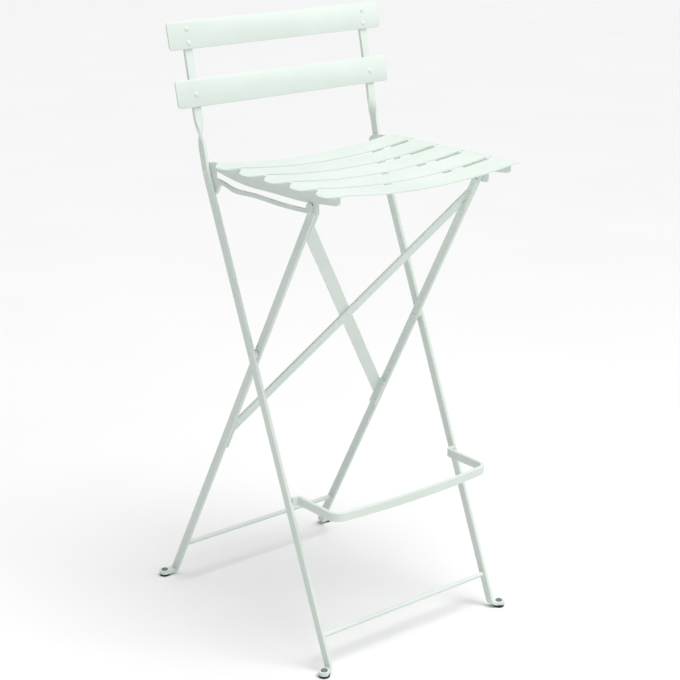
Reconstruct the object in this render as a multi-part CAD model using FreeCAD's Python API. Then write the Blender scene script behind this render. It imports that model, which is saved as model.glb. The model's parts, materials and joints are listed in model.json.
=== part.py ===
import FreeCAD, Part
import os
from math import acos, asin, atan2, cos, degrees, pi, radians, sin, sqrt, tan

# Folding bar stool of painted flat steel bar. Millimetres and degrees.
# X runs to the sitter's right, Y to the back, Z up. The feet stand on Z = 0 and the
# origin lies under the middle of the outer box. Shapes are drawn on the right-hand
# side (+X) and mirrored.

# Overall frame
pivot_height = 485.5
frame_half_width = 182.8
long_leg_lean = 22.2
short_leg_lean = 28.8
post_lean = 12.7
hinge_reach = 304.3
back_height = 232.758
pin_below_hinge = 10.96

# Flat bar that the legs, posts and footrest are made of
bar_width = 15.0
bar_thickness = 6.0
bar_edge_break = 0.9

# Gaps between the moving layers, running fit of the pins, and start of a cut before the metal
side_gap = 0.4
running_fit = 0.08
cut_margin = 1.0

# Posts above the seat hinge
post_bend_reach = 18.0
twist_start = 36.0
twist_below_slat = 12.2
post_end_below_top = 4.0

# Feet
tab_height = 4.0
elbow_radius = 5.0
eye_radius = 9.7
front_tab_reach = 9.2
rear_tab_reach = 14.2
front_tab_skew = 21.0
rear_tab_skew = 12.0
stem_radius = 3.5
stem_fit = 0.1
sole_radius = 9.2
sole_bore_depth = 2.4
sole_edge = 0.7
plug_radius = 5.6
plug_height = 2.4
plug_edge = 1.0

# Back slats
back_half_length = 216.5
upper_back_height = 44.0
lower_back_height = 44.0
back_gap = 47.5
back_thickness = 2.5
back_corner_radius = 5.0
upper_rivets_below_top = (12.4, 34.4)
lower_rivets_below_top = (12.4, 34.4)

# Rivets
pivot_shank_radius = 3.0
pivot_head_radius = 4.4
pivot_head_height = 2.0
slat_shank_radius = 2.0
slat_head_radius = 3.9
slat_head_height = 1.6
brace_shank_radius = 2.0
brace_head_radius = 3.3
brace_head_height = 1.6
spacer_radius = 7.0

# Guide pins at the tops of the short legs
pin_radius = 2.5
pin_head_radius = 8.0
pin_head_thickness = 2.3
pin_tail_radius = 3.5
pin_tail_height = 1.6
pin_clearance = 0.5
pin_rim = 0.8

# Rivet heads: share of the height that is upright, and of the radius that is flat on top
rim_share = 0.35
crown_share = 0.6

# Fold: how far the legs close, and how much the seat turns for each degree
leg_fold = 47.0
seat_ratio = 0.65

# Seat slats
slat_count = 5
slat_width = 51.0
slat_pitch = 63.5
slat_half_length = 196.0
slat_thickness = 2.0
slat_corner_radius = 20.0
slat_sag = 12.0
slat_tip_drop = 3.5
slat_land = 4.5
seat_front_reach = 226.0
seat_above_hinge = 19.76
seat_slope = 0.5

# Side rails and their guide arms
rail_thickness = 5.0
rail_front_setback = 12.0
rail_front_depth = 16.4
rail_corner_radius = 5.0
rail_depths = ((20.0, 16.3), (38.0, 18.8), (58.0, 23.0), (115.0, 24.0), (164.0, 23.4),
               (258.0, 22.8), (290.0, 19.6))
guide_gap = 9.7
guide_arm_height = 6.0
guide_end_gap = 5.0
guide_end_thickness = 8.0
guide_rear_gap = 1.0
guide_plate_radius = 13.5
guide_tooth_depth = 34.5
guide_tooth_width = 13.0
guide_tooth_round = 3.0
guide_shoulder_run = 8.0
guide_shoulder_drop = 1.5
guide_corner = 3.0

# Cross brace between the short legs
strap_width = 20.0
strap_thickness = 4.0
brace_crossing = 43.0
brace_below_pin = 5.0
flange_length = 60.0
flange_corner_radius = 3.0
flange_shift = 10.0
flange_rivet_span = 35.0
brace_rivet_offset = 4.2

# Cross rods and footrest
rod_radius = 4.0
front_rod_height = 56.0
rear_rod_height = 69.0
footrest_height = 255.0
footrest_half_width = 162.7
footrest_corner_radius = 18.0
footrest_elbow_radius = 6.0
footrest_depth = 94.0
footrest_bow = 10.7
footrest_leg_offset = 5.4

# Derived places
vector = FreeCAD.Vector
x_axis = vector(1, 0, 0)
y_axis = vector(0, 1, 0)
z_axis = vector(0, 0, 1)
rail_outer = frame_half_width - bar_thickness - side_gap
rail_inner = rail_outer - rail_thickness
long_inner = frame_half_width - bar_thickness
short_outer = rail_inner - side_gap
short_inner = short_outer - bar_thickness
tab_top = tab_height + bar_thickness
elbow_height = tab_height + bar_thickness / 2 + elbow_radius


def foot_centre_reach(lean, skew, reach):
    """Distance in Y from the main pivot to the middle of a foot's eye."""
    drop = pivot_height - elbow_height
    turned = elbow_radius * (tan(radians(lean)) + tan(radians(skew)))
    return drop * tan(radians(lean)) + turned + reach * tan(radians(skew))


rear_reach = foot_centre_reach(short_leg_lean, rear_tab_skew, rear_tab_reach) + eye_radius
pivot_y = (seat_front_reach - rear_reach) / 2
pivot = vector(0, pivot_y, pivot_height)


def direction(lean):
    """Unit vector going up along a bar that leans back by this angle."""
    return vector(0, sin(radians(lean)), cos(radians(lean)))


def across(lean):
    """Unit vector square to such a bar, to the back."""
    return vector(0, cos(radians(lean)), -sin(radians(lean)))


hinge = pivot + direction(long_leg_lean) * hinge_reach
pin_reach = (hinge.z - pin_below_hinge - pivot_height) / cos(radians(short_leg_lean))
pin = pivot + direction(-short_leg_lean) * pin_reach
seat_front_y = pivot_y - seat_front_reach
seat_front_height = hinge.z + seat_above_hinge
brace_top = pin_reach - brace_below_pin
brace_rise = brace_top - flange_length / 2 - flange_shift - brace_crossing
lower_back_top = upper_back_height + back_gap
slat_lean_height = (bar_thickness / 2 + back_thickness) * sin(radians(post_lean))
post_length = (back_height - slat_lean_height) / cos(radians(post_lean))
twist_end = post_length - lower_back_top - lower_back_height - twist_below_slat


def seat_level(y):
    """Height of the plane that the slats lie on."""
    return seat_front_height - (y - seat_front_y) * tan(radians(seat_slope))


def both_sides(shape):
    return [shape, shape.mirror(vector(0, 0, 0), x_axis)]


def fused(shapes):
    whole = shapes[0].fuse(shapes[1:])
    return whole.removeSplitter()


def export(name, shapes):
    shape = shapes[0] if len(shapes) == 1 else Part.makeCompound(shapes)
    shape.exportStep(os.path.join("parts", name + ".step"))


def export_pair(name, right):
    left = right.mirror(vector(0, 0, 0), x_axis)
    export(name + "_right", [right])
    export(name + "_left", [left])


def rounded_polygon(corners):
    """Closed wire in the XY plane through (x, y, radius) corners."""
    edges = []
    first = None
    last = None
    for i, (x, y, radius) in enumerate(corners):
        corner = vector(x, y, 0)
        before = vector(corners[i - 1][0], corners[i - 1][1], 0) - corner
        following = corners[(i + 1) % len(corners)]
        after = vector(following[0], following[1], 0) - corner
        before.normalize()
        after.normalize()
        if radius > 0:
            half = acos(before.dot(after)) / 2
            start = corner + before * (radius / tan(half))
            end = corner + after * (radius / tan(half))
            inward = before + after
            inward.normalize()
            middle = corner + inward * (radius / sin(half) - radius)
        else:
            start = corner
            end = corner
        if last is not None and (start - last).Length > 1e-6:
            edges.append(Part.makeLine(last, start))
        if radius > 0:
            edges.append(Part.Arc(start, middle, end).toShape())
        if first is None:
            first = start
        last = end
    if (first - last).Length > 1e-6:
        edges.append(Part.makeLine(last, first))
    return Part.Wire(edges)


def plate_in_side_view(wire, x_from, thickness):
    """Plate whose outline was drawn as (y, z) in the XY plane."""
    plate = Part.Face(wire).extrude(z_axis * thickness)
    turn = FreeCAD.Rotation(y_axis, z_axis, x_axis)
    plate.Placement = FreeCAD.Placement(vector(x_from, 0, 0), turn)
    return plate


def lean_shape(shape, lean, origin):
    """Turn a shape drawn upright about X to this lean and put its origin in place."""
    turn = FreeCAD.Rotation(x_axis, -lean)
    shape.Placement = FreeCAD.Placement(origin, turn).multiply(shape.Placement)
    return shape


def bar_section(centre, wide, thin):
    """Outline of the flat bar with its four edges broken, at one place along it."""
    a = bar_width / 2
    b = bar_thickness / 2
    c = bar_edge_break
    corners = []
    for u, v in ((a, b - c), (a - c, b), (c - a, b), (-a, b - c),
                 (-a, c - b), (c - a, -b), (a - c, -b), (a, c - b)):
        corners.append(centre + wide * u + thin * v)
    return Part.makePolygon(corners + corners[:1])


def straight_bar(section, run):
    """Length of bar from a section along the vector run."""
    return Part.Face(section).extrude(run)


def bent_bar(section, middle, axis, angle):
    """Bar bent round a middle point, starting at a section."""
    return Part.Face(section).revolve(middle, axis, angle)


def formed_bar(sections):
    """Bar that turns or twists through sections."""
    return Part.makeLoft(sections, True, True)


def foot_of_leg(lean, skew, reach, x_middle):
    """Elbow, tab and eye at the bottom of a leg, and the place where the leg starts."""
    toward = -1 if lean > 0 else 1
    slope = tan(radians(abs(lean)))
    skew_slope = tan(radians(skew))
    steps = 6
    start_y = pivot_y + toward * (pivot_height - elbow_height) * slope
    sections = []
    for i in range(steps + 1):
        turn = radians(90 * i / steps)
        drift = elbow_radius * (slope * sin(turn) + skew_slope * (1 - cos(turn)))
        centre = vector(x_middle + elbow_radius * (1 - cos(turn)), start_y + toward * drift,
                        elbow_height - elbow_radius * sin(turn))
        thin = vector(cos(turn), 0, sin(turn))
        sections.append(bar_section(centre, across(lean * (1 - i / steps)), thin))
    elbow = formed_bar(sections)
    end_x = x_middle + elbow_radius
    end_y = start_y + toward * elbow_radius * (slope + skew_slope)
    eye = vector(end_x + reach, end_y + toward * reach * skew_slope, tab_height)
    half = bar_width / 2
    corners = [(end_x, end_y - half, 0), (end_x, end_y + half, 0),
               (eye.x, eye.y + eye_radius, 0), (eye.x, eye.y - eye_radius, 0)]
    neck = Part.Face(rounded_polygon(corners)).extrude(z_axis * bar_thickness)
    neck.translate(z_axis * tab_height)
    disc = Part.makeCylinder(eye_radius, bar_thickness, eye)
    bore = Part.makeCylinder(stem_radius + stem_fit, bar_thickness, eye)
    start = vector(x_middle, start_y, elbow_height)
    return fused([elbow, neck, disc]).cut(bore), start, eye


def long_leg():
    """Front foot, long leg, bend above the seat hinge, quarter twist and back post."""
    x = frame_half_width - bar_thickness / 2
    aside = x_axis * x
    foot, ankle, eye = foot_of_leg(long_leg_lean, front_tab_skew, front_tab_reach, x)
    turn = long_leg_lean - post_lean
    bend_radius = post_bend_reach / tan(radians(turn / 2))
    bend_start = hinge - direction(long_leg_lean) * post_bend_reach + aside
    bend_middle = bend_start - across(long_leg_lean) * bend_radius
    low = bar_section(ankle, across(long_leg_lean), x_axis)
    bend = bar_section(bend_start, across(long_leg_lean), x_axis)
    up = direction(post_lean)
    square = across(post_lean)
    twist = []
    twist_steps = 10
    for i in range(twist_steps + 1):
        share = i / twist_steps
        angle = pi / 2 * share * share * (3 - 2 * share)
        wide = square * cos(angle) + x_axis * sin(angle)
        thin = x_axis * cos(angle) - square * sin(angle)
        centre = hinge + up * (twist_start + (twist_end - twist_start) * share) + aside
        twist.append(bar_section(centre, wide, thin))
    bend_end = bar_section(hinge + up * post_bend_reach + aside, square, x_axis)
    flat_length = post_length - post_end_below_top - twist_end
    pieces = [foot, straight_bar(low, bend_start - ankle),
              bent_bar(bend, bend_middle, x_axis, turn),
              straight_bar(bend_end, up * (twist_start - post_bend_reach)), formed_bar(twist),
              straight_bar(twist[-1], up * flat_length)]
    leg = fused(pieces)
    for place, radius in ((pivot, pivot_shank_radius), (hinge, pivot_shank_radius)):
        leg = leg.cut(Part.makeCylinder(radius, bar_width,
                                        place + x_axis * (long_inner - cut_margin), x_axis))
    for top, rivets in ((0.0, upper_rivets_below_top), (lower_back_top, lower_rivets_below_top)):
        for below in rivets:
            place = hinge + up * (post_length - top - below) + aside - square * bar_width
            leg = leg.cut(Part.makeCylinder(slat_shank_radius, 2 * bar_width, place, square))
    return leg, eye


def short_leg():
    """Rear foot and short leg up to the eye of the guide pin."""
    x = (short_inner + short_outer) / 2
    foot, ankle, eye = foot_of_leg(-short_leg_lean, rear_tab_skew, rear_tab_reach, x)
    low = bar_section(ankle, across(-short_leg_lean), x_axis)
    head = Part.makeCylinder(bar_width / 2, bar_thickness, pin + x_axis * short_inner, x_axis)
    leg = fused([foot, straight_bar(low, pin + x_axis * x - ankle), head])
    holes = [(pivot, pivot_shank_radius + running_fit), (pin, pin_radius)]
    for along in brace_rivet_places():
        place = (pivot + direction(-short_leg_lean) * along
                 - across(-short_leg_lean) * brace_rivet_offset)
        holes.append((place, brace_shank_radius))
    for place, radius in holes:
        leg = leg.cut(Part.makeCylinder(radius, bar_width,
                                        place + x_axis * (short_inner - cut_margin), x_axis))
    return leg, eye


def turned(profile, origin, axis):
    """Round piece from a closed profile of (radius, distance along the axis) corners."""
    corners = [vector(radius, 0, level) for radius, level in profile]
    body = Part.Face(Part.makePolygon(corners + corners[:1]))
    body = body.revolve(vector(0, 0, 0), z_axis, 360)
    body.Placement = FreeCAD.Placement(origin, FreeCAD.Rotation(z_axis, axis))
    return body


def rivet(origin, axis, length, shank, head, head_height, tail=True):
    """Rivet whose shank starts at origin and runs along axis, head at its end."""
    rim = head_height * rim_share
    crown = head * crown_share
    top = length + head_height
    profile = [(0, top), (crown, top), (head, length + rim), (head, length), (shank, length),
               (shank, 0)]
    if tail:
        profile += [(head, 0), (head, -rim), (crown, -head_height), (0, -head_height)]
    else:
        profile += [(0, 0)]
    return turned(profile, origin, axis)


def main_pivot_rivet():
    length = frame_half_width - short_inner
    origin = pivot + x_axis * short_inner
    return rivet(origin + x_axis * -running_fit, x_axis, length + running_fit, pivot_shank_radius,
                 pivot_head_radius, pivot_head_height)


def pivot_spacer():
    outer_face = short_outer + side_gap
    place = pivot + x_axis * outer_face
    ring = Part.makeCylinder(spacer_radius, long_inner - outer_face, place, x_axis)
    return ring.cut(Part.makeCylinder(pivot_shank_radius, long_inner - outer_face, place, x_axis))


def seat_hinge_rivet():
    origin = hinge + x_axis * (rail_inner - running_fit)
    return rivet(origin, x_axis, frame_half_width - rail_inner + running_fit, pivot_shank_radius,
                 pivot_head_radius, pivot_head_height)


def guide_pin():
    """Pin through the short leg and the guide slot, with a broad flat outer head."""
    grip = rail_outer + side_gap - short_inner
    tail_rim = pin_tail_height * rim_share
    head_top = grip + pin_head_thickness
    profile = [(0, head_top), (pin_head_radius - pin_rim, head_top),
               (pin_head_radius, head_top - pin_rim), (pin_head_radius, grip), (pin_radius, grip),
               (pin_radius, 0), (pin_tail_radius, 0), (pin_tail_radius, -tail_rim),
               (pin_tail_radius * crown_share, -pin_tail_height), (0, -pin_tail_height)]
    return turned(profile, pin + x_axis * short_inner, x_axis)


def back_slat(top_below_post, height, rivets):
    corners = []
    r = back_corner_radius
    for x, z in ((-1, 0), (1, 0), (1, 1), (-1, 1)):
        corners.append((x * back_half_length, -top_below_post - height + z * height, r))
    plate = Part.Face(rounded_polygon(corners)).extrude(z_axis * back_thickness)
    for x in (-1, 1):
        for below in rivets:
            place = vector(x * (frame_half_width - bar_thickness / 2), -top_below_post - below, 0)
            plate = plate.cut(Part.makeCylinder(slat_shank_radius, back_thickness, place))
    plate.Placement = FreeCAD.Placement(vector(0, -bar_thickness / 2, post_length),
                                        FreeCAD.Rotation(x_axis, 90))
    return lean_shape(plate, post_lean, hinge)


def back_rivets():
    shapes = []
    square = across(post_lean)
    for top, rivets in ((0.0, upper_rivets_below_top), (lower_back_top, lower_rivets_below_top)):
        for below in rivets:
            place = (hinge + direction(post_lean) * (post_length - top - below)
                     + x_axis * (frame_half_width - bar_thickness / 2)
                     + square * (bar_thickness / 2))
            shapes += both_sides(rivet(place, square * -1, bar_thickness + back_thickness,
                                       slat_shank_radius, slat_head_radius, slat_head_height))
    return shapes


def seat_slat(index):
    """Slat that dips in the middle, lies flat on the rails and curls down at its ends."""
    rail_middle = (rail_inner + rail_outer) / 2
    land_in = rail_middle - slat_land
    land_out = rail_middle + slat_land
    tip_run = slat_half_length - land_out
    edges = []
    for level in (0.0, slat_thickness):
        dip = vector(0, 0, level - slat_sag)
        left_in = vector(-land_in, 0, level)
        right_in = vector(land_in, 0, level)
        edges.append(Part.Arc(left_in, dip, right_in).toShape())
        for side in (-1, 1):
            land_end = vector(side * land_out, 0, level)
            tip = vector(side * slat_half_length, 0, level - slat_tip_drop)
            half_way = vector(side * (land_out + tip_run / 2), 0, level - slat_tip_drop / 4)
            edges.append(Part.makeLine(vector(side * land_in, 0, level), land_end))
            edges.append(Part.Arc(land_end, half_way, tip).toShape())
    for side in (-1, 1):
        low = vector(side * slat_half_length, 0, -slat_tip_drop)
        edges.append(Part.makeLine(low, low + z_axis * slat_thickness))
    profile = Part.Wire(Part.__sortEdges__(edges))
    strip = Part.Face(profile).extrude(y_axis * slat_width)
    r = slat_corner_radius
    corners = [(-slat_half_length, 0, r), (slat_half_length, 0, r),
               (slat_half_length, slat_width, r), (-slat_half_length, slat_width, r)]
    room = slat_sag + slat_tip_drop + slat_thickness
    plan = Part.Face(rounded_polygon(corners)).extrude(z_axis * 2 * room)
    plan.translate(z_axis * -room)
    slat = strip.common(plan)
    y = seat_front_y + index * slat_pitch
    turn = FreeCAD.Rotation(x_axis, -seat_slope)
    slat.Placement = FreeCAD.Placement(vector(0, y, seat_level(y)), turn)
    return slat


def pin_path_point(fold):
    """Place of the guide pin, seen from the seat, after the legs close by this angle."""
    moved = pivot + direction(fold - short_leg_lean) * pin_reach - hinge
    back = FreeCAD.Rotation(x_axis, seat_ratio * fold)
    return hinge + back.multVec(moved)


def pin_height_at(y):
    """Height of the pin's path at this distance along the seat."""
    low_fold = 0.0
    high_fold = leg_fold
    if y <= pin_path_point(low_fold).y:
        return pin_path_point(low_fold).z
    if y >= pin_path_point(high_fold).y:
        return pin_path_point(high_fold).z
    for _ in range(40):
        fold = (low_fold + high_fold) / 2
        if pin_path_point(fold).y < y:
            low_fold = fold
        else:
            high_fold = fold
    return pin_path_point(high_fold).z


slot_rear_y = pin_path_point(leg_fold).y + pin_radius + guide_rear_gap
slot_front_y = pin.y - pin_radius - guide_end_gap
pin_room = pin_radius + pin_clearance


def rail_edge_points():
    """Points along the underside of the rail, from the back forward."""
    points = []
    for ahead, depth in rail_depths:
        y = hinge.y - ahead
        nominal = seat_level(y) - depth
        points.append(vector(y, max(nominal, pin_height_at(y) + pin_room), 0))
    return points


def guide_edge_points():
    """Points along the top of the guide arm, from the back forward."""
    points = []
    for ahead, depth in rail_depths[:-1]:
        y = hinge.y - ahead
        nominal = seat_level(y) - depth - guide_gap
        points.append(vector(y, min(nominal, pin_height_at(y) - pin_room), 0))
    return points


def spline(points):
    curve = Part.BSplineCurve()
    curve.interpolate(points)
    return curve.toShape()


def seat_rail():
    """Side rail on edge, its underside shaped clear of the pin's path."""
    lower = rail_edge_points()
    rear = vector(slot_rear_y, lower[0].y, 0)
    front_y = seat_front_y + rail_front_setback
    low = seat_level(front_y) - rail_front_depth
    r = rail_corner_radius
    arc_inset = r - r / sqrt(2)
    nose = vector(front_y + r, low, 0)
    nose_top = vector(front_y, low + r, 0)
    nose_middle = vector(front_y + arc_inset, low + arc_inset, 0)
    front_top = vector(front_y, seat_level(front_y), 0)
    rear_top = vector(slot_rear_y, seat_level(slot_rear_y), 0)
    edges = [Part.makeLine(rear, lower[0]), spline(lower), Part.makeLine(lower[-1], nose),
             Part.Arc(nose, nose_middle, nose_top).toShape(), Part.makeLine(nose_top, front_top),
             Part.makeLine(front_top, rear_top), Part.makeLine(rear_top, rear)]
    return plate_in_side_view(Part.Wire(edges), rail_inner, rail_thickness)


def guide_arm(rail):
    """Arm under the slot: hinge plate with a tooth at the back, closed end in front."""
    upper = guide_edge_points()
    lower = [point - y_axis * guide_arm_height for point in upper[1:]]
    slot_edge = vector(slot_rear_y, upper[0].y, 0)
    edges = [Part.makeLine(slot_edge, upper[0]), spline(upper)]
    end_y = slot_front_y - guide_end_thickness
    slot_end = vector(slot_front_y, upper[-1].y + guide_gap, 0)
    slot_mid = vector(slot_front_y + guide_end_gap / 2, upper[-1].y + guide_gap / 3, 0)
    slot_top = slot_end + y_axis * guide_gap
    end_top = vector(end_y, slot_top.y, 0)
    end_low = vector(end_y, lower[-1].y + guide_corner, 0)
    turn_low = vector(end_y + guide_corner, lower[-1].y, 0)
    corner_mid = (end_low + turn_low) * 0.5 - vector(1, 1, 0) * (guide_corner / 5)
    edges.append(Part.Arc(upper[-1], slot_mid, slot_end).toShape())
    edges.append(Part.makeLine(slot_end, slot_top))
    edges.append(Part.makeLine(slot_top, end_top))
    edges.append(Part.makeLine(end_top, end_low))
    edges.append(Part.Arc(end_low, corner_mid, turn_low).toShape())
    edges.append(Part.makeLine(turn_low, lower[-1]))
    tooth_y = upper[0].x - guide_end_gap / 2
    tooth_low = hinge.z - guide_tooth_depth
    shoulder = vector(tooth_y - guide_shoulder_run, lower[0].y - guide_shoulder_drop, 0)
    tooth_front = vector(tooth_y, tooth_low + guide_tooth_round, 0)
    tooth_mid = vector(tooth_y + guide_tooth_width / 2, tooth_low - guide_tooth_round / 2, 0)
    tooth_back = vector(tooth_y + guide_tooth_width, tooth_low, 0)
    edges.append(spline(lower[::-1] + [shoulder]))
    edges.append(Part.makeLine(shoulder, tooth_front))
    edges.append(Part.Arc(tooth_front, tooth_mid, tooth_back).toShape())
    r = guide_plate_radius
    rear_low = vector(hinge.y + r, hinge.z - r / 2, 0)
    rear_high = vector(hinge.y + r, hinge.z, 0)
    rear_mid = vector(hinge.y + r / sqrt(2), hinge.z + r / sqrt(2), 0)
    crown = vector(hinge.y, hinge.z + r, 0)
    front_top = vector(slot_rear_y, seat_level(slot_rear_y) - side_gap, 0)
    edges.append(Part.makeLine(tooth_back, rear_low))
    edges.append(Part.makeLine(rear_low, rear_high))
    edges.append(Part.Arc(rear_high, rear_mid, crown).toShape())
    edges.append(Part.makeLine(crown, front_top))
    edges.append(Part.makeLine(front_top, slot_edge))
    plate = plate_in_side_view(Part.Wire(edges), rail_inner, rail_thickness)
    bore = Part.makeCylinder(pivot_shank_radius + running_fit, bar_width,
                             hinge + x_axis * (rail_inner - cut_margin), x_axis)
    return plate.cut(rail).cut(bore)


def brace_rivet_places():
    """Distances up the short leg from the pivot to the four brace rivets."""
    places = []
    for end in (1, -1):
        middle = brace_crossing + end * (brace_rise + flange_shift)
        places += [middle - flange_rivet_span / 2, middle + flange_rivet_span / 2]
    return places


def cross_strap(side, layer):
    """Strap from one short leg's foot end to the other's top, with bent riveted ends."""
    run = short_inner - strap_thickness
    slope = atan2(brace_rise, run)
    half_rise = strap_width / cos(slope) / 2
    depth_from = (1 - layer) * strap_thickness - bar_width / 2
    face_x = short_inner
    rise = brace_rise * face_x / run
    middle = brace_crossing
    corners = [(-face_x, middle - rise - half_rise, 0), (face_x, middle + rise - half_rise, 0),
               (face_x, middle + rise + half_rise, 0), (-face_x, middle - rise + half_rise, 0)]
    strap = Part.Face(rounded_polygon(corners)).extrude(z_axis * strap_thickness)
    strap.translate(z_axis * depth_from)
    base = -bar_width / 2
    reach = bar_width / 2 - depth_from
    flanges = []
    for end in (1, -1):
        low = middle + end * (brace_rise + flange_shift) - flange_length / 2
        r = flange_corner_radius
        outline = rounded_polygon([(base, low, r), (base + reach, low, r),
                                   (base + reach, low + flange_length, r),
                                   (base, low + flange_length, r)])
        plate = Part.Face(outline).extrude(z_axis * strap_thickness)
        turn = FreeCAD.Rotation(z_axis * -1, y_axis, x_axis)
        place = vector(short_inner - strap_thickness if end > 0 else -short_inner, 0, 0)
        plate.Placement = FreeCAD.Placement(place, turn)
        flanges.append(plate)
    whole = fused([strap] + flanges)
    for end in (1, -1):
        for shift in (-1, 1):
            along = middle + end * (brace_rise + flange_shift) + shift * flange_rivet_span / 2
            place = vector(end * (short_inner - 2 * strap_thickness), along, brace_rivet_offset)
            whole = whole.cut(Part.makeCylinder(brace_shank_radius, 4 * strap_thickness, place,
                                                x_axis * end))
    whole = whole.cut(Part.makeCylinder(brace_shank_radius, 4 * strap_thickness,
                                        vector(0, middle, depth_from - strap_thickness)))
    if side < 0:
        whole = whole.mirror(vector(0, 0, 0), x_axis)
    turn = FreeCAD.Rotation(x_axis, 90 + short_leg_lean)
    whole.Placement = FreeCAD.Placement(pivot, turn).multiply(whole.Placement)
    return whole


def brace_rivets():
    shapes = []
    up = direction(-short_leg_lean)
    aside = x_axis * short_outer - across(-short_leg_lean) * brace_rivet_offset
    for along in brace_rivet_places():
        origin = pivot + up * along + aside
        shapes += both_sides(rivet(origin, x_axis * -1, bar_thickness + strap_thickness,
                                   brace_shank_radius, brace_head_radius, brace_head_height, False))
    return shapes


def brace_centre_rivet():
    origin = (pivot + direction(-short_leg_lean) * brace_crossing
              + across(-short_leg_lean) * (bar_width / 2))
    return rivet(origin, across(-short_leg_lean) * -1, 2 * strap_thickness, brace_shank_radius,
                 brace_head_radius, brace_head_height)


def cross_rod(lean, height, half_length):
    place = pivot - direction(lean) * ((pivot_height - height) / cos(radians(lean)))
    return Part.makeCylinder(rod_radius, 2 * half_length, place - x_axis * half_length, x_axis)


def footrest():
    """Flat bar on edge: tab from each leg, arm forward, and a bowed bar in front."""
    z = footrest_height + bar_width / 2
    leg_y = pivot_y - (pivot_height - z) * tan(radians(long_leg_lean))
    tab_y = leg_y - footrest_leg_offset
    arm_x = footrest_half_width
    front_y = tab_y - footrest_depth
    corner = footrest_corner_radius
    elbow = footrest_elbow_radius
    bow_radius = (arm_x ** 2 + footrest_bow ** 2) / (2 * footrest_bow)
    bow_middle = vector(0, front_y - footrest_bow + bow_radius, z)
    gap_x = arm_x - corner
    corner_y = bow_middle.y - sqrt((bow_radius - corner) ** 2 - gap_x ** 2)
    corner_middle = vector(gap_x, corner_y, z)
    bow_turn = degrees(asin(gap_x / (bow_radius - corner)))
    arm_start = vector(arm_x, tab_y - elbow, z)
    tab = bar_section(vector(long_inner, tab_y, z), z_axis, y_axis)
    tab_bend = bar_section(vector(arm_x + elbow, tab_y, z), z_axis, y_axis)
    arm = bar_section(arm_start, z_axis, x_axis)
    arm_bend = bar_section(vector(arm_x, corner_y, z), z_axis, x_axis)
    bow = bar_section(vector(0, front_y - footrest_bow, z), z_axis, y_axis)
    half = [straight_bar(tab, x_axis * (arm_x + elbow - long_inner)),
            bent_bar(tab_bend, vector(arm_x + elbow, tab_y - elbow, z), z_axis, 90),
            straight_bar(arm, y_axis * (corner_y - arm_start.y)),
            bent_bar(arm_bend, corner_middle, z_axis, bow_turn - 90),
            bent_bar(bow, bow_middle, z_axis, bow_turn)]
    other = [piece.mirror(vector(0, 0, 0), x_axis) for piece in half]
    return fused(half + other)


def sole(eye):
    """Rubber pad under a foot's eye, with a blind bore for the plug's stem."""
    bore = stem_radius + stem_fit
    floor = tab_height - sole_bore_depth
    profile = [(0, 0), (sole_radius - sole_edge, 0), (sole_radius, sole_edge),
               (sole_radius, tab_height), (bore, tab_height), (bore, floor), (0, floor)]
    return turned(profile, vector(eye.x, eye.y, 0), z_axis)


def plug(eye):
    """Grey press-in cap whose stem holds the sole under the eye."""
    stem_foot = stem_fit - bar_thickness - sole_bore_depth
    profile = [(0, stem_foot), (stem_radius, stem_foot), (stem_radius, 0), (plug_radius, 0),
               (plug_radius, plug_height - plug_edge), (plug_radius - plug_edge, plug_height),
               (0, plug_height)]
    return turned(profile, vector(eye.x, eye.y, tab_top), z_axis)


def main():
    os.makedirs("parts", exist_ok=True)
    leg, front_eye = long_leg()
    export_pair("long_leg", leg)
    leg, rear_eye = short_leg()
    export_pair("short_leg", leg)
    export("front_soles", both_sides(sole(front_eye)))
    export("rear_soles", both_sides(sole(rear_eye)))
    export("front_foot_plugs", both_sides(plug(front_eye)))
    export("rear_foot_plugs", both_sides(plug(rear_eye)))
    export("main_pivot_rivets", both_sides(main_pivot_rivet()))
    export("main_pivot_spacers", both_sides(pivot_spacer()))
    export("seat_hinge_rivets", both_sides(seat_hinge_rivet()))
    export("guide_pins", both_sides(guide_pin()))
    export("back_slat_upper", [back_slat(0.0, upper_back_height, upper_rivets_below_top)])
    export("back_slat_lower", [back_slat(lower_back_top, lower_back_height, lower_rivets_below_top)])
    export("back_slat_rivets", back_rivets())
    rail = seat_rail()
    export_pair("seat_rail", rail)
    export_pair("guide_arm", guide_arm(rail))
    for index in range(slat_count):
        export("seat_slat_%d" % (index + 1), [seat_slat(index)])
    export("cross_strap_a", [cross_strap(1, 0)])
    export("cross_strap_b", [cross_strap(-1, 1)])
    export("brace_rivets", brace_rivets())
    export("brace_centre_rivet", [brace_centre_rivet()])
    export("front_cross_rod", [cross_rod(long_leg_lean, front_rod_height, long_inner)])
    export("rear_cross_rod", [cross_rod(-short_leg_lean, rear_rod_height, short_inner)])
    export("footrest", [footrest()])
    for label, place in (("pivot", pivot), ("hinge", hinge), ("pin", pin)):
        print(label, round(place.x, 3), round(place.y, 3), round(place.z, 3))


main()
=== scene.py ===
import json
from math import cos, pi, radians, sin, tan

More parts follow.
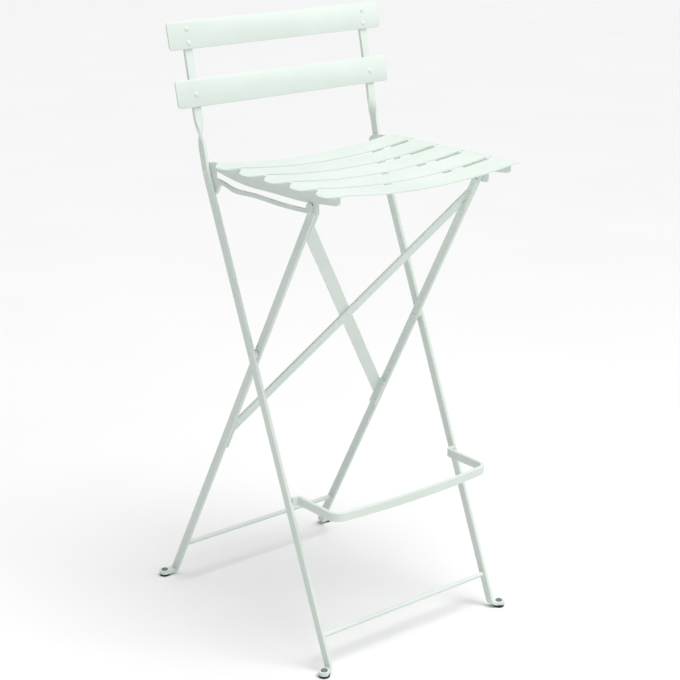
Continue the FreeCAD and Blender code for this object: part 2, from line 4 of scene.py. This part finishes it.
import bmesh
import bpy
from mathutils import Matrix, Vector


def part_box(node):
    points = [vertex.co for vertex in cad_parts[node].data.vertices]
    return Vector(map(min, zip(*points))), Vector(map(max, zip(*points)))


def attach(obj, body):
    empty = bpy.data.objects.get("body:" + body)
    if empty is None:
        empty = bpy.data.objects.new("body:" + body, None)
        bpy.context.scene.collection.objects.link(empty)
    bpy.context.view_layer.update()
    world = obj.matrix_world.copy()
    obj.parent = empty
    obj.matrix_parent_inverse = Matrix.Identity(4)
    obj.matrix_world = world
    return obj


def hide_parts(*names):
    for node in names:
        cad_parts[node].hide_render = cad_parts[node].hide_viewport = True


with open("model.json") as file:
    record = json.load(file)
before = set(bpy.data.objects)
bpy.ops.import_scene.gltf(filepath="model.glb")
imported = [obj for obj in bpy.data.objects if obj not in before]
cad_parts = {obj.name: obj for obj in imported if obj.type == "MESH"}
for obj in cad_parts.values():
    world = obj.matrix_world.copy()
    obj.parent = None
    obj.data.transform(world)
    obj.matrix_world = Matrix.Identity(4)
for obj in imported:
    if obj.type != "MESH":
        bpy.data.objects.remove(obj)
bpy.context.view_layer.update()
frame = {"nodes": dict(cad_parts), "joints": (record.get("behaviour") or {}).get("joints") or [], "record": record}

# Folding bar stool. Metres, +X to the right as seen from the front, +Y to the back, +Z up.
# Angles are in degrees. Distances up the back posts start at the seat hinge.

# Camera, as the photograph was taken
camera_place = (-1.70935, -2.12359, 1.36922)
camera_turn = 39.27
camera_tilt = -18.51
camera_sensor = 36.0
camera_lens = 90.566
camera_shift = (-0.00265, 0.0095)

# Brightness of the surroundings, as they light the stool and as they are seen behind it
sky_light = 0.38
sky_seen = 0.98

# Broad light above and weaker light in front
sun_power = 2.30
sun_spread = 40
sun_tilt = (14, 4, 0)
front_light_place = (0.5, -1.3, 2.1)
front_light_target = (0, 0.1, 0.95)
front_light_size = 1.2
front_light_power = 12.0

# Floor, a little below the soles
floor_half_width = 60.0
floor_cells = 8
floor_level = -0.0003

# Finishes, as linear colours
paint_light = (0.730, 0.808, 0.752, 1.0)
paint_deep = (0.692, 0.774, 0.716, 1.0)
rubber_dark = (0.012, 0.012, 0.012, 1.0)
rubber_dusty = (0.045, 0.044, 0.042, 1.0)
plug_light = (0.200, 0.245, 0.220, 1.0)
plug_dark = (0.130, 0.165, 0.148, 1.0)
floor_light = (0.870, 0.870, 0.870, 1.0)
floor_deep = (0.860, 0.860, 0.860, 1.0)

# Noises of the finishes: the range that runs from one colour to the other, and their detail
noise_low = 0.35
noise_high = 0.65
patch_detail = 4.0
grain_detail = 3.0

# Rounded edges of the plates and bars that stay as CAD made them
plate_edge = 0.0004
plate_edge_angle = 50

# Round pieces: sides of a turned piece, steps over a domed head, sharpest smooth angle
turned_sides = 32
dome_steps = 6
turned_sharp = 40

# Flat bar of the long legs
bar_width = 0.015
bar_thickness = 0.006
bar_edge = 0.0011
bar_edge_steps = 3
bar_sharp = 50

# Course of the long legs: lean of leg and post, bend at the hinge, twist, end of the post
leg_lean = 22.2
post_lean = 12.7
bend_reach = 0.018
bend_steps = 5
twist_start = 0.036
twist_end = 0.08966
twist_steps = 28
post_end = 0.23336

# Front feet: tab that leaves the elbow aslant, and the eye at its end
tab_height = 0.004
tab_reach = 0.0092
tab_skew = 21.0
tab_edge = bar_edge * 0.7
elbow_radius = 0.005
elbow_steps = 10
eye_radius = 0.0097
eye_steps = 28

# Back slats, and how far below the upper slat's top the lower slat and the rivets are
back_top = 0.237355
slat_half_length = 0.2165
slat_height = 0.044
slat_thickness = 0.0025
slat_corner = 0.005
slat_corner_steps = 6
slat_edge = 0.0006
lower_slat_drop = 0.0915
rivet_drops = (0.0124, 0.0344, lower_slat_drop + 0.0240)

# Rivets: radius and height of the domed heads, radius of the shank
joint_rivet = (0.0044, 0.0020, 0.0030)
brace_rivet = (0.0033, 0.0016, 0.0020)
slat_rivet = (0.0039, 0.0016, 0.0020)

# Corners further from a rivet's middle than this share of the furthest one are its ends
rivet_end_share = 0.9

# Soles: rounding of foot and top, and a groove whose four corners are at shares of the height
sole_rounding = 0.0010
sole_edge = 0.0003
groove_depth = 0.0005
groove_levels = (0.50, 0.58, 0.66, 0.74)

# Plugs: stem, height of the cap, and the cap's curve as shares of radius and cap height
plug_stem = 0.0035
cap_height = 0.0024
cap_curve = ((1.0, 1.0), (1.0, 0.6), (0.93, 0.3), (0.76, 0.06), (0.55, 0.0), (0.40, 0.125),
             (0.30, 0.25), (0.0, 0.2917))

# Weld beads: radius and length of a half ripple
bead_radius = 0.0011
ripple_pitch = 0.0011
bead_sides = 8

# Shares of a bead's radius: its size between ripples and at an open end, how far it stands off
# the legs and the skin of a rod, and how far it stands off the legs at the footrest
valley_share = 0.78
tip_share = 0.35
rod_bead_share = 0.3
footrest_bead_share = 0.5

# Beads under the seat slats, which follow the small fall of the rails towards the back
slat_bead_length = 0.016
slat_bead_drop = 0.0005
seat_fall = 0.00873

# Corners of a CAD mesh that are nearer than this are one corner
merge_distance = 0.00001

up = Vector((0, 0, 1))
sideways = Vector((1, 0, 0))


def node_material(name, low, high, patch_scale, rough_low, rough_high, grain_scale, grain_height,
                  speck):
    """Finish whose colour, gloss and grain all vary over the surface."""
    material = bpy.data.materials.new(name)
    material.use_nodes = True
    tree = material.node_tree
    links = tree.links
    shader = tree.nodes["Principled BSDF"]
    place = tree.nodes.new("ShaderNodeTexCoord")
    patches = tree.nodes.new("ShaderNodeTexNoise")
    patches.inputs["Scale"].default_value = patch_scale
    patches.inputs["Detail"].default_value = patch_detail
    links.new(place.outputs["Object"], patches.inputs["Vector"])
    tint = tree.nodes.new("ShaderNodeValToRGB")
    tint.color_ramp.elements[0].position = noise_low
    tint.color_ramp.elements[0].color = low
    tint.color_ramp.elements[1].position = noise_high
    tint.color_ramp.elements[1].color = high
    links.new(patches.outputs["Fac"], tint.inputs["Fac"])
    grain = tree.nodes.new("ShaderNodeTexNoise")
    grain.inputs["Scale"].default_value = grain_scale
    grain.inputs["Detail"].default_value = grain_detail
    links.new(place.outputs["Object"], grain.inputs["Vector"])
    specks = tree.nodes.new("ShaderNodeMapRange")
    specks.inputs["From Min"].default_value = noise_low
    specks.inputs["From Max"].default_value = noise_high
    specks.inputs["To Min"].default_value = 1.0 - speck
    specks.inputs["To Max"].default_value = 1.0
    links.new(grain.outputs["Fac"], specks.inputs["Value"])
    shaded = tree.nodes.new("ShaderNodeMix")
    shaded.data_type = "RGBA"
    shaded.blend_type = "MULTIPLY"
    shaded.inputs["Factor"].default_value = 1.0
    links.new(tint.outputs["Color"], shaded.inputs["A"])
    links.new(specks.outputs["Result"], shaded.inputs["B"])
    links.new(shaded.outputs["Result"], shader.inputs["Base Color"])
    gloss = tree.nodes.new("ShaderNodeMapRange")
    gloss.inputs["To Min"].default_value = rough_low
    gloss.inputs["To Max"].default_value = rough_high
    links.new(patches.outputs["Fac"], gloss.inputs["Value"])
    links.new(gloss.outputs["Result"], shader.inputs["Roughness"])
    relief = tree.nodes.new("ShaderNodeBump")
    relief.inputs["Strength"].default_value = 1.0
    relief.inputs["Distance"].default_value = grain_height
    links.new(grain.outputs["Fac"], relief.inputs["Height"])
    links.new(relief.outputs["Normal"], shader.inputs["Normal"])
    return material


paint = node_material("powder_paint", paint_deep, paint_light, patch_scale=9.0, rough_low=0.42,
                      rough_high=0.56, grain_scale=1500.0, grain_height=0.00003, speck=0.05)
rubber = node_material("sole_rubber", rubber_dark, rubber_dusty, patch_scale=260.0,
                       rough_low=0.60, rough_high=0.85, grain_scale=2200.0,
                       grain_height=0.00006, speck=0.25)
plug_plastic = node_material("plug_plastic", plug_dark, plug_light, patch_scale=320.0,
                             rough_low=0.38, rough_high=0.55, grain_scale=1800.0,
                             grain_height=0.00003, speck=0.10)
floor_finish = node_material("floor_finish", floor_deep, floor_light, patch_scale=2.0,
                             rough_low=0.75, rough_high=0.9, grain_scale=300.0,
                             grain_height=0.00002, speck=0.01)
finishes = {"paint": paint, "rubber": rubber, "plug": plug_plastic}


def dress_nodes():
    """Give every CAD node its finish, and the painted ones a small rounding of long edges."""
    slots = {part["node"]: part["material_slot"] for part in frame["record"]["subparts"]}
    for name, obj in frame["nodes"].items():
        obj.data.materials.clear()
        obj.data.materials.append(finishes[slots[name]])
        if slots[name] != "paint":
            continue
        rounding = obj.modifiers.new("edge", "BEVEL")
        rounding.width = plate_edge
        rounding.segments = 2
        rounding.limit_method = "ANGLE"
        rounding.angle_limit = radians(plate_edge_angle)
        rounding.use_clamp_overlap = True


def add_piece(work, name, slot, body, sharp=180):
    """Make a piece of a bmesh, smooth but for edges that turn by more than the sharp angle."""
    bmesh.ops.recalc_face_normals(work, faces=work.faces)
    for face in work.faces:
        face.smooth = True
    for edge in work.edges:
        if len(edge.link_faces) == 2 and edge.calc_face_angle() > radians(sharp):
            edge.smooth = False
    mesh = bpy.data.meshes.new(name)
    work.to_mesh(mesh)
    work.free()
    mesh.materials.append(finishes[slot])
    obj = bpy.data.objects.new(name, mesh)
    bpy.context.scene.collection.objects.link(obj)
    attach(obj, body)
    return obj


def replace_node(work, name, node, slot, body, sharp=turned_sharp):
    """Make a piece of a bmesh that is seen in the place of a CAD node."""
    obj = add_piece(work, name, slot, body, sharp)
    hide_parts(node)


def join_rings(work, low, high):
    """Faces between two rings of corners. A ring of one corner is a tip."""
    count = max(len(low), len(high))
    for k in range(count):
        after = (k + 1) % count
        if len(low) == 1:
            work.faces.new((low[0], high[after], high[k]))
        elif len(high) == 1:
            work.faces.new((low[k], low[after], high[0]))
        else:
            work.faces.new((low[k], low[after], high[after], high[k]))


def weld_bead(name, points, body, closed=False):
    """Rippled bead along a path on the surface of the pieces that it joins."""
    work = bmesh.new()
    rings = []
    count = len(points)
    for i, point in enumerate(points):
        before = points[i - 1] if closed or i > 0 else point
        after = points[(i + 1) % count] if closed or i < count - 1 else point
        along = (after - before).normalized()
        aside = along.orthogonal().normalized()
        other = along.cross(aside)
        swell = bead_radius * (1.0 if i % 2 else valley_share)
        if not closed and i in (0, count - 1):
            swell = bead_radius * tip_share
        ring = []
        for k in range(bead_sides):
            angle = 2 * pi * k / bead_sides
            ring.append(work.verts.new(point + (aside * cos(angle) + other * sin(angle)) * swell))
        rings.append(ring)
    for low, high in zip(rings, rings[1:]):
        join_rings(work, low, high)
    if closed:
        join_rings(work, rings[-1], rings[0])
    else:
        work.faces.new(rings[0][::-1])
        work.faces.new(rings[-1])
    add_piece(work, name, "paint", body)


def line_points(start, end):
    """Points along a straight weld, one for each half ripple."""
    steps = max(4, round((end - start).length / ripple_pitch))
    return [start.lerp(end, i / steps) for i in range(steps + 1)]


def ring_points(middle, radius):
    """Points of a weld round a rod that runs along X."""
    steps = 2 * round(pi * radius / ripple_pitch)
    turn = 2 * pi / steps
    return [middle + Vector((0, cos(turn * i), sin(turn * i))) * radius for i in range(steps)]


def build_rod_welds(rod, body):
    """A bead round each end of a cross rod, against the legs."""
    low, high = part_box(rod)
    middle_y = (low[1] + high[1]) / 2
    middle_z = (low[2] + high[2]) / 2
    off = bead_radius * rod_bead_share
    radius = (high[2] - low[2]) / 2 + off
    for side, x in (("left", low[0] + off), ("right", high[0] - off)):
        points = ring_points(Vector((x, middle_y, middle_z)), radius)
        weld_bead("%s_weld_%s" % (rod, side), points, body, closed=True)


def build_footrest_welds():
    """Beads up both faces of the footrest's two tabs, against the long legs."""
    low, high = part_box("footrest")
    back = high[1]
    front = back - bar_thickness
    foot = low[2] + bead_radius
    top = high[2] - bead_radius
    off = bead_radius * footrest_bead_share
    for side, x in (("left", low[0] + off), ("right", high[0] - off)):
        for face, y in (("front", front), ("back", back)):
            points = line_points(Vector((x, y, foot)), Vector((x, y, top)))
            weld_bead("footrest_weld_%s_%s" % (face, side), points, "front_frame")


def build_slat_welds():
    """Short beads under each seat slat, along the inner and outer face of both rails."""
    for index in range(1, 6):
        slat = "seat_slat_%d" % index
        slat_low, slat_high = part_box(slat)
        middle_y = (slat_low[1] + slat_high[1]) / 2
        for side in ("left", "right"):
            low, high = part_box("seat_rail_" + side)
            level = high[2] - slat_bead_drop - (middle_y - low[1]) * seat_fall
            for face, x in (("a", low[0]), ("b", high[0])):
                start = Vector((x, middle_y - slat_bead_length / 2, level))
                end = start + Vector((0, slat_bead_length, -slat_bead_length * seat_fall))
                weld_bead("%s_weld_%s_%s" % (slat, side, face), line_points(start, end), "seat")


def islands(node):
    """Corner places of each separate solid in a CAD node."""
    work = bmesh.new()
    work.from_mesh(frame["nodes"][node].data)
    bmesh.ops.remove_doubles(work, verts=work.verts, dist=merge_distance)
    left = set(work.verts)
    groups = []
    for start in work.verts:
        if start not in left:
            continue
        left.remove(start)
        stack = [start]
        group = []
        while stack:
            vert = stack.pop()
            group.append(vert.co.copy())
            for edge in vert.link_edges:
                other = edge.other_vert(vert)
                if other in left:
                    left.remove(other)
                    stack.append(other)
        groups.append(group)
    work.free()
    return groups


def middle_of(places):
    return sum(places, Vector()) / len(places)


def turned_piece(work, profile, origin, axis):
    """Add a round solid. The profile is (radius, distance along the axis) from end to end."""
    turn = axis.to_track_quat("Z", "Y").to_matrix()
    rings = []
    for radius, level in profile:
        corners = turned_sides if radius > 0 else 1
        ring = []
        for k in range(corners):
            angle = 2 * pi * k / corners
            place = Vector((radius * cos(angle), radius * sin(angle), level))
            ring.append(work.verts.new(origin + turn @ place))
        rings.append(ring)
    for low, high in zip(rings, rings[1:]):
        join_rings(work, low, high)


def dome(radius, base, height):
    """Profile of a domed head from its rim to its top."""
    points = []
    for step in range(dome_steps + 1):
        turn = pi / 2 * step / dome_steps
        reach = radius * cos(turn) if step < dome_steps else 0
        points.append((reach, base + height * sin(turn)))
    return points


def rivet_profile(sizes, foot, top, two_heads):
    """Rivet between two levels, which are the tops of its heads or the end of its shank."""
    head_radius, head_height, shank_radius = sizes
    if two_heads:
        start = [(reach, -level) for reach, level in
                 dome(head_radius, -foot - head_height, head_height)[::-1]]
    else:
        start = [(0, foot)]
    shank = [(shank_radius, start[-1][1]), (shank_radius, top - head_height)]
    return start + shank + dome(head_radius, top - head_height, head_height)


def build_domed_rivets(node, axis, body, sizes, two_heads, outward):
    """Domed rivets in the places of a CAD node's solids, mirrored about the middle if outward."""
    work = bmesh.new()
    for group in islands(node):
        middle = middle_of(group)
        line = -axis if outward and middle.x <= 0 else axis
        levels = [(place - middle).dot(line) for place in group]
        profile = rivet_profile(sizes, min(levels), max(levels), two_heads)
        turned_piece(work, profile, middle, line)
    replace_node(work, node + "_domed", node, "paint", body)


def long_axis(node):
    """Direction from the front end to the rear end of a node's only rivet."""
    group = islands(node)[0]
    middle = middle_of(group)
    far = max((place - middle).length for place in group)
    ends = [place for place in group if (place - middle).length > far * rivet_end_share]
    rear = middle_of([place for place in ends if place.y > middle.y])
    front = middle_of([place for place in ends if place.y <= middle.y])
    return (rear - front).normalized()


def build_rivets():
    """Rivets of the main pivot, the seat hinge and the crossed straps."""
    build_domed_rivets("main_pivot_rivets", sideways, "front_frame", joint_rivet, True, True)
    build_domed_rivets("seat_hinge_rivets", sideways, "front_frame", joint_rivet, True, True)
    build_domed_rivets("brace_rivets", -sideways, "rear_frame", brace_rivet, False, True)
    build_domed_rivets("brace_centre_rivet", long_axis("brace_centre_rivet"), "rear_frame",
                       brace_rivet, True, False)


def along_bar(lean):
    """Unit vector going up along a bar that leans back by this angle."""
    return Vector((0, sin(radians(lean)), cos(radians(lean))))


def across_bar(lean):
    """Unit vector square to such a bar, to the back."""
    return Vector((0, cos(radians(lean)), -sin(radians(lean))))


def joint_place(name):
    for joint in frame["joints"]:
        if joint["name"] == name:
            return Vector(joint["pos_m"])


hinge = joint_place("seat_fold")
pivot = joint_place("leg_fold")
post_up = along_bar(post_lean)
post_back = across_bar(post_lean)
leg_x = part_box("front_cross_rod")[1][0] + bar_thickness / 2


def leg_stations():
    """Middle, wide and thin direction of the right leg's bar, from the elbow to the post's end."""
    aside = sideways * leg_x
    leg_slope = tan(radians(leg_lean))
    skew_slope = tan(radians(tab_skew))
    elbow_top = tab_height + bar_thickness / 2 + elbow_radius
    ankle_y = pivot.y - (pivot.z - elbow_top) * leg_slope
    stations = []
    for i in range(elbow_steps, -1, -1):
        turn = radians(90 * i / elbow_steps)
        drift = elbow_radius * (leg_slope * sin(turn) + skew_slope * (1 - cos(turn)))
        middle = Vector((leg_x + elbow_radius * (1 - cos(turn)), ankle_y - drift,
                         elbow_top - elbow_radius * sin(turn)))
        thin = Vector((cos(turn), 0, sin(turn)))
        stations.append((middle, across_bar(leg_lean * (1 - i / elbow_steps)), thin))
    bend_radius = bend_reach / tan(radians(leg_lean - post_lean) / 2)
    bend_start = hinge - along_bar(leg_lean) * bend_reach + aside
    bend_middle = bend_start - across_bar(leg_lean) * bend_radius
    for i in range(bend_steps + 1):
        lean = leg_lean + (post_lean - leg_lean) * i / bend_steps
        wide = across_bar(lean)
        stations.append((bend_middle + wide * bend_radius, wide, sideways))
    for i in range(twist_steps + 1):
        share = i / twist_steps
        angle = pi / 2 * share * share * (3 - 2 * share)
        middle = hinge + post_up * (twist_start + (twist_end - twist_start) * share) + aside
        wide = post_back * cos(angle) - sideways * sin(angle)
        thin = sideways * cos(angle) + post_back * sin(angle)
        stations.append((middle, wide, thin))
    stations.append((hinge + post_up * post_end + aside, wide, thin))
    return stations


def bar_outline():
    """Corners of the bar's rounded section, along its wide and its thin direction."""
    corners = []
    for i, (u, v) in enumerate(((1, 1), (-1, 1), (-1, -1), (1, -1))):
        for step in range(bar_edge_steps + 1):
            turn = pi / 2 * (i + step / bar_edge_steps)
            corners.append((u * (bar_width / 2 - bar_edge) + bar_edge * cos(turn),
                            v * (bar_thickness / 2 - bar_edge) + bar_edge * sin(turn)))
    return corners


def swept_bar(work, stations):
    """Add the flat bar along its stations."""
    outline = bar_outline()
    rings = []
    for middle, wide, thin in stations:
        rings.append([work.verts.new(middle + wide * u + thin * v) for u, v in outline])
    for low, high in zip(rings, rings[1:]):
        join_rings(work, low, high)
    work.faces.new(rings[0][::-1])
    work.faces.new(rings[-1])


def rounded_plate(work, outline, rise, edge):
    """Add a plate from an outline and the vector of its thickness, with rounded rims."""
    low = [work.verts.new(place) for place in outline]
    high = [work.verts.new(place + rise) for place in outline]
    caps = [work.faces.new(low[::-1]), work.faces.new(high)]
    join_rings(work, low, high)
    rims = [rim for cap in caps for rim in cap.edges]
    bmesh.ops.bevel(work, geom=rims, offset=edge, segments=2, profile=0.5, affect="EDGES")


def tab_outline(start):
    """Outline of a foot's flat tab, from the elbow's end round the eye."""
    eye_x = start.x + tab_reach
    eye_y = start.y - tab_reach * tan(radians(tab_skew))
    outline = [Vector((start.x, start.y + bar_width / 2, tab_height)),
               Vector((start.x, start.y - bar_width / 2, tab_height))]
    for i in range(eye_steps + 1):
        turn = pi * i / eye_steps - pi / 2
        outline.append(Vector((eye_x + eye_radius * cos(turn), eye_y + eye_radius * sin(turn),
                               tab_height)))
    return outline


def build_long_legs():
    """Legs of rounded flat bar whose posts twist a quarter turn, each with its foot's eye."""
    stations = leg_stations()
    for side in ("left", "right"):
        work = bmesh.new()
        swept_bar(work, stations)
        rounded_plate(work, tab_outline(stations[0][0]), up * bar_thickness, tab_edge)
        if side == "left":
            for vert in work.verts:
                vert.co.x = -vert.co.x
        replace_node(work, "long_leg_formed_" + side, "long_leg_" + side, "paint", "front_frame",
                     bar_sharp)


def build_back_slats():
    """Flat slats with round corners and rounded rims, on the front of the posts."""
    reach = slat_half_length - slat_corner
    for name, drop in (("back_slat_upper", 0.0), ("back_slat_lower", lower_slat_drop)):
        high = back_top - drop - slat_corner
        low = back_top - drop - slat_height + slat_corner
        corners = ((reach, high), (-reach, high), (-reach, low), (reach, low))
        outline = []
        for i, (x, level) in enumerate(corners):
            for step in range(slat_corner_steps + 1):
                turn = pi / 2 * (i + step / slat_corner_steps)
                outline.append(hinge - post_back * (bar_thickness / 2)
                               + sideways * (x + slat_corner * cos(turn))
                               + post_up * (level + slat_corner * sin(turn)))
        work = bmesh.new()
        rounded_plate(work, outline, -post_back * slat_thickness, slat_edge)
        replace_node(work, name + "_rounded", name, "paint", "front_frame", bar_sharp)


def build_slat_rivets():
    """Two rivets at each end of the upper slat and one at each end of the lower slat."""
    head_height = slat_rivet[1]
    grip = bar_thickness + slat_thickness
    profile = rivet_profile(slat_rivet, -head_height, grip + head_height, True)
    work = bmesh.new()
    for drop in rivet_drops:
        middle = hinge + post_up * (back_top - drop) + post_back * (bar_thickness / 2)
        for side in (-1, 1):
            turned_piece(work, profile, middle + sideways * (side * leg_x), -post_back)
    replace_node(work, "back_slat_rivets_domed", "back_slat_rivets", "paint", "front_frame")


def sole_profile(radius, height):
    """Sole with a rounded foot and a moulded groove round its side."""
    foot = [(0, 0), (radius - sole_rounding, 0), (radius - sole_edge, sole_edge),
            (radius, sole_rounding)]
    reaches = (radius, radius - groove_depth, radius - groove_depth, radius)
    groove = [(reach, height * share) for reach, share in zip(reaches, groove_levels)]
    return foot + groove + [(radius, height - sole_edge), (radius - sole_edge, height),
                            (0, height)]


def plug_profile(radius, height):
    """Plug with a thin stem and a domed cap that has a small dimple."""
    cap = [(radius * share, height - cap_height * drop) for share, drop in cap_curve]
    return [(0, 0), (plug_stem, 0), (plug_stem, height - cap_height)] + cap


def build_round_feet(node, name, make_profile, slot, body):
    """Upright turned pieces in the places and sizes of a CAD node's solids."""
    work = bmesh.new()
    for group in islands(node):
        low = Vector([min(place[i] for place in group) for i in range(3)])
        high = Vector([max(place[i] for place in group) for i in range(3)])
        foot = Vector(((low.x + high.x) / 2, (low.y + high.y) / 2, low.z))
        profile = make_profile((high.x - low.x) / 2, high.z - low.z)
        turned_piece(work, profile, foot, up)
    replace_node(work, name, node, slot, body)


def build_feet():
    """Soles and plugs of all four feet."""
    for row in ("front", "rear"):
        body = row + "_frame"
        soles = row + "_soles"
        plugs = row + "_foot_plugs"
        build_round_feet(soles, soles + "_moulded", sole_profile, "rubber", body)
        build_round_feet(plugs, plugs + "_capped", plug_profile, "plug", body)


def build_floor():
    """Large pale floor."""
    work = bmesh.new()
    bmesh.ops.create_grid(work, x_segments=floor_cells, y_segments=floor_cells,
                          size=floor_half_width)
    mesh = bpy.data.meshes.new("floor")
    work.to_mesh(mesh)
    work.free()
    mesh.materials.append(floor_finish)
    floor = bpy.data.objects.new("floor", mesh)
    floor.location = (0, 0, floor_level)
    bpy.context.scene.collection.objects.link(floor)


def build_surroundings():
    """Even pale surroundings, whiter where the camera sees them than where they light."""
    world = bpy.data.worlds.new("studio")
    bpy.context.scene.world = world
    world.use_nodes = True
    nodes = world.node_tree.nodes
    links = world.node_tree.links
    sky = nodes["Background"]
    sky.inputs["Color"].default_value = (1.0, 1.0, 1.0, 1.0)
    path = nodes.new("ShaderNodeLightPath")
    level = nodes.new("ShaderNodeMapRange")
    level.inputs["To Min"].default_value = sky_light
    level.inputs["To Max"].default_value = sky_seen
    links.new(path.outputs["Is Camera Ray"], level.inputs["Value"])
    links.new(level.outputs["Result"], sky.inputs["Strength"])
    bpy.context.scene.view_settings.view_transform = "Standard"


def build_lights():
    """Broad soft light above and a weaker soft light in front."""
    sun = bpy.data.lights.new("light_above", "SUN")
    sun.energy = sun_power
    sun.angle = radians(sun_spread)
    above = bpy.data.objects.new("light_above", sun)
    above.rotation_euler = [radians(angle) for angle in sun_tilt]
    bpy.context.scene.collection.objects.link(above)
    disk = bpy.data.lights.new("light_front", "AREA")
    disk.shape = "DISK"
    disk.size = front_light_size
    disk.energy = front_light_power
    front = bpy.data.objects.new("light_front", disk)
    front.location = front_light_place
    aim = Vector(front_light_target) - Vector(front_light_place)
    front.rotation_euler = aim.to_track_quat("-Z", "Y").to_euler()
    bpy.context.scene.collection.objects.link(front)


def build_camera():
    """Camera at the photograph's place, angle and framing."""
    camera = bpy.data.cameras.new("camera")
    camera.sensor_fit = "HORIZONTAL"
    camera.sensor_width = camera_sensor
    camera.lens = camera_lens
    camera.shift_x, camera.shift_y = camera_shift
    obj = bpy.data.objects.new("camera", camera)
    obj.location = camera_place
    obj.rotation_euler = (radians(90 + camera_tilt), 0, radians(-camera_turn))
    bpy.context.scene.collection.objects.link(obj)
    bpy.context.scene.camera = obj


dress_nodes()
build_rod_welds("front_cross_rod", "front_frame")
build_rod_welds("rear_cross_rod", "rear_frame")
build_footrest_welds()
build_slat_welds()
build_long_legs()
build_back_slats()
build_slat_rivets()
build_rivets()
build_feet()
build_floor()
build_surroundings()
build_lights()
build_camera()
